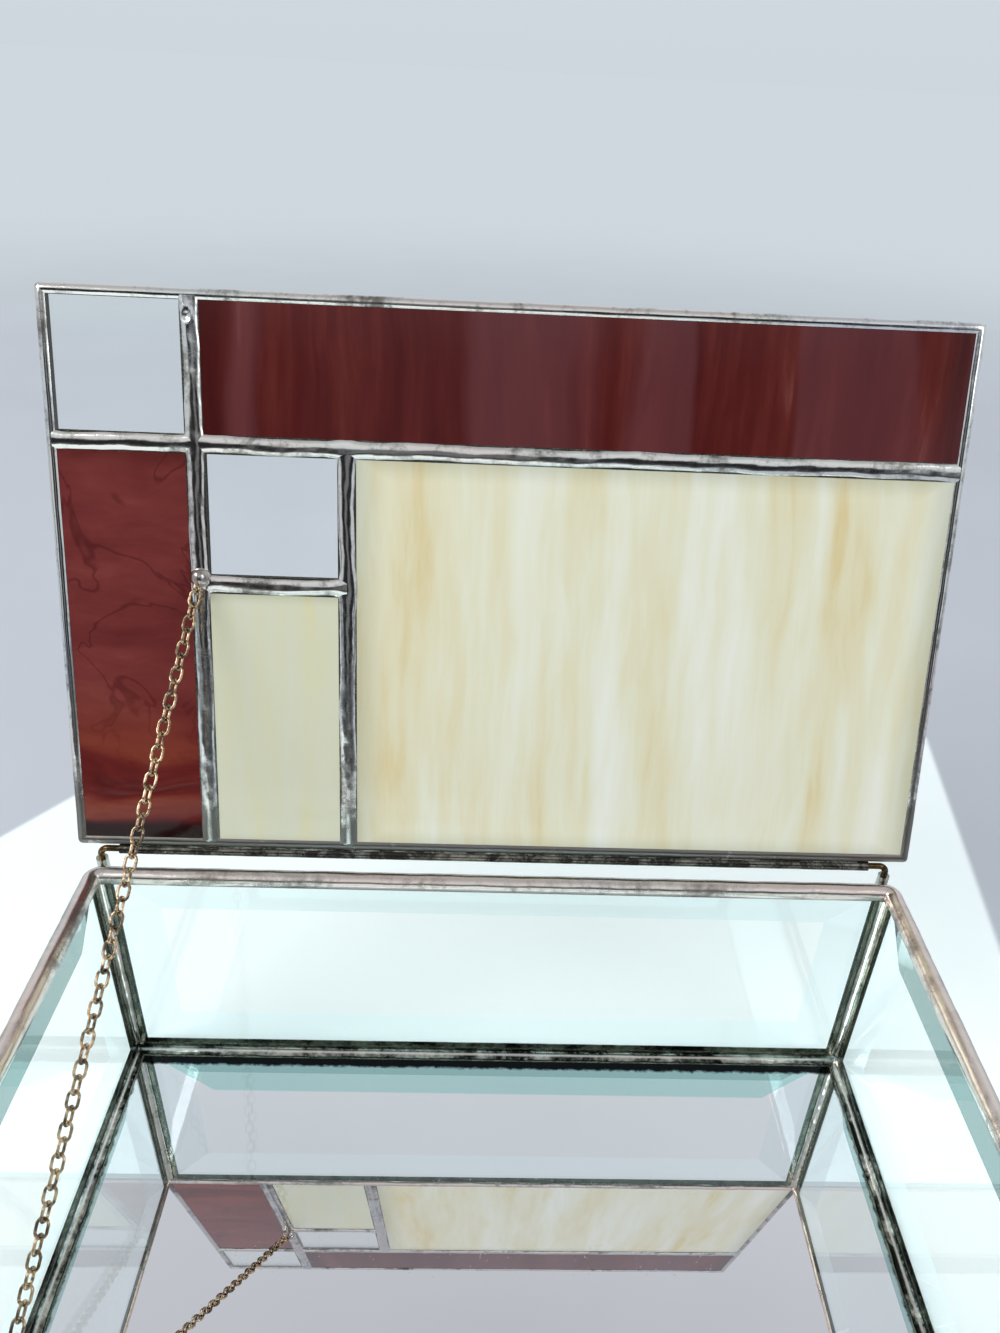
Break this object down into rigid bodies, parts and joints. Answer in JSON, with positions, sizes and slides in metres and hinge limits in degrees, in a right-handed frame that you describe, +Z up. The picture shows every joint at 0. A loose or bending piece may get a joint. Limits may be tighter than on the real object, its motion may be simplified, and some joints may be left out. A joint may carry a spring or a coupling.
{
  "type": "glass keepsake box",
  "caption": "Low casket box of bevelled glass panes with a mirror floor, beaded solder seams and a patchwork glass lid on a tube hinge, held open by a fine chain.",
  "frame": {"origin": "middle of the box's flat underside, on what it stands on", "axes": "+X along the box's length to the right seen from the front, +Y from the front to the hinge at the back, +Z up"},
  "size_m": [0.2066, 0.1698, 0.1961],
  "materials": {
    "mirror_plate": "silvered glass plate, seen through its own clear front",
    "clear_glass": "clear plate glass with wide polished bevels",
    "wine_glass": "streaky wine red art glass with lighter, smoky veins",
    "cream_glass": "cream opalescent art glass with soft amber streaks",
    "foil": "thin copper foil, tinned over and seen through the glass",
    "rim_solder": "rounded solder bead, softly tarnished with a faint rainbow",
    "lid_solder": "rounded solder bead, dull grey patina with bright crowns",
    "corner_solder": "solder with a dark grey-green patina",
    "dark_solder": "solder with a nearly black patina",
    "hinge_rod": "dark bronze coloured brass rod",
    "hinge_tube": "tinned brass tube",
    "chain_brass": "polished fine brass link chain",
    "chain_solder": "small drop of solder"
  },
  "bodies": {
    "box": {"mirror_floor": "mirror_plate", "rear_pane": "clear_glass", "left_pane": "clear_glass", "front_pane": "clear_glass", "right_pane": "clear_glass", "box_foil": "foil", "rear_rim": "rim_solder", "left_rim": "rim_solder", "front_rim": "rim_solder", "right_rim": "rim_solder", "rear_foot_seam": "dark_solder", "left_foot_seam": "dark_solder", "front_foot_seam": "dark_solder", "right_foot_seam": "dark_solder", "rear_left_seam": "corner_solder", "rear_right_seam": "corner_solder", "front_left_seam": "corner_solder", "front_right_seam": "corner_solder", "hinge_rod": "hinge_rod", "chain_foot_link": "chain_brass", "chain_foot_solder": "chain_solder"},
    "lid": {"hinge_tube": "hinge_tube", "lid_corner_square": "clear_glass", "lid_front_strip": "wine_glass", "lid_side_strip": "wine_glass", "lid_inner_square": "clear_glass", "lid_inner_pane": "cream_glass", "lid_main_pane": "cream_glass", "lid_foil": "foil", "lid_rear_edge": "lid_solder", "lid_left_edge": "lid_solder", "lid_front_edge": "lid_solder", "lid_right_edge": "lid_solder", "lid_long_seam": "lid_solder", "lid_cross_seam": "lid_solder", "lid_short_seam": "lid_solder", "lid_inner_seam": "lid_solder", "chain_top_solder": "chain_solder", "chain_top_link": "chain_brass"},
    "chain_01": {"chain_01": "chain_brass"},
    "chain_02": {"chain_02": "chain_brass"},
    "chain_03": {"chain_03": "chain_brass"},
    "chain_04": {"chain_04": "chain_brass"},
    "chain_05": {"chain_05": "chain_brass"},
    "chain_06": {"chain_06": "chain_brass"},
    "chain_07": {"chain_07": "chain_brass"},
    "chain_08": {"chain_08": "chain_brass"},
    "chain_09": {"chain_09": "chain_brass"},
    "chain_10": {"chain_10": "chain_brass"},
    "chain_11": {"chain_11": "chain_brass"},
    "chain_12": {"chain_12": "chain_brass"}
  },
  "joints": [
    {"name": "lid_hinge", "type": "hinge", "parent": "box", "child": "lid", "pos_m": [0, 0.0659, 0.0702], "axis": [1, 0, 0], "range_deg": [0, 106.6]},
    {"name": "chain_01_bend", "type": "hinge", "parent": "lid", "child": "chain_01", "pos_m": [-0.07086, 0.08079, 0.13473], "axis": [0.9808, -0.195, 0], "range_deg": [-54.48, 0]},
    {"name": "chain_02_bend", "type": "hinge", "parent": "chain_01", "child": "chain_02", "pos_m": [-0.07289, 0.07053, 0.12405], "axis": [-0.1394, -0.701, 0.6995], "range_deg": [0, 20.93]},
    {"name": "chain_03_bend", "type": "hinge", "parent": "chain_02", "child": "chain_03", "pos_m": [-0.07503, 0.0598, 0.11287], "axis": [-0.1394, -0.701, 0.6995], "range_deg": [0, 26.5]},
    {"name": "chain_04_bend", "type": "hinge", "parent": "chain_03", "child": "chain_04", "pos_m": [-0.07707, 0.04955, 0.10219], "axis": [0.9808, -0.195, 0], "range_deg": [0, 54.57]},
    {"name": "chain_05_bend", "type": "hinge", "parent": "chain_04", "child": "chain_05", "pos_m": [-0.07911, 0.0393, 0.09151], "axis": [-0.1394, -0.701, 0.6995], "range_deg": [-64.11, 0]},
    {"name": "chain_06_bend", "type": "hinge", "parent": "chain_05", "child": "chain_06", "pos_m": [-0.08114, 0.02905, 0.08083], "axis": [0.9808, -0.195, 0], "range_deg": [0, 50.87]},
    {"name": "chain_12_bend", "type": "hinge", "parent": "box", "child": "chain_12", "pos_m": [-0.09532, -0.04223, 0.00657], "axis": [0.9808, -0.195, 0], "range_deg": [-49.2, 0]},
    {"name": "chain_11_bend", "type": "hinge", "parent": "chain_12", "child": "chain_11", "pos_m": [-0.09328, -0.03198, 0.01725], "axis": [-0.1394, -0.701, 0.6995], "range_deg": [0, 17.66]},
    {"name": "chain_10_bend", "type": "hinge", "parent": "chain_11", "child": "chain_10", "pos_m": [-0.09124, -0.02173, 0.02793], "axis": [0.9808, -0.195, 0], "range_deg": [0, 4.75]},
    {"name": "chain_09_bend", "type": "hinge", "parent": "chain_10", "child": "chain_09", "pos_m": [-0.0892, -0.01148, 0.03861], "axis": [-0.1394, -0.701, 0.6995], "range_deg": [-15.39, 0]},
    {"name": "chain_08_bend", "type": "hinge", "parent": "chain_09", "child": "chain_08", "pos_m": [-0.08716, -0.00123, 0.04929], "axis": [0.9808, -0.195, 0], "range_deg": [0, 14.5]},
    {"name": "chain_07_bend", "type": "hinge", "parent": "chain_08", "child": "chain_07", "pos_m": [-0.08513, 0.00902, 0.05997], "axis": [-0.1394, -0.701, 0.6995], "range_deg": [-64.17, 0]}
  ],
  "couplings": [
    {"joint": "chain_01_bend", "follows": "lid_hinge", "ratio": -0.51055},
    {"joint": "chain_02_bend", "follows": "lid_hinge", "ratio": 0.19588},
    {"joint": "chain_03_bend", "follows": "lid_hinge", "ratio": 0.24809},
    {"joint": "chain_04_bend", "follows": "lid_hinge", "ratio": 0.51144},
    {"joint": "chain_05_bend", "follows": "lid_hinge", "ratio": -0.60096},
    {"joint": "chain_06_bend", "follows": "lid_hinge", "ratio": 0.47676},
    {"joint": "chain_12_bend", "follows": "lid_hinge", "ratio": -0.46107},
    {"joint": "chain_11_bend", "follows": "lid_hinge", "ratio": 0.1652},
    {"joint": "chain_10_bend", "follows": "lid_hinge", "ratio": 0.044064},
    {"joint": "chain_09_bend", "follows": "lid_hinge", "ratio": -0.14393},
    {"joint": "chain_08_bend", "follows": "lid_hinge", "ratio": 0.13556},
    {"joint": "chain_07_bend", "follows": "lid_hinge", "ratio": -0.60147}
  ]
}
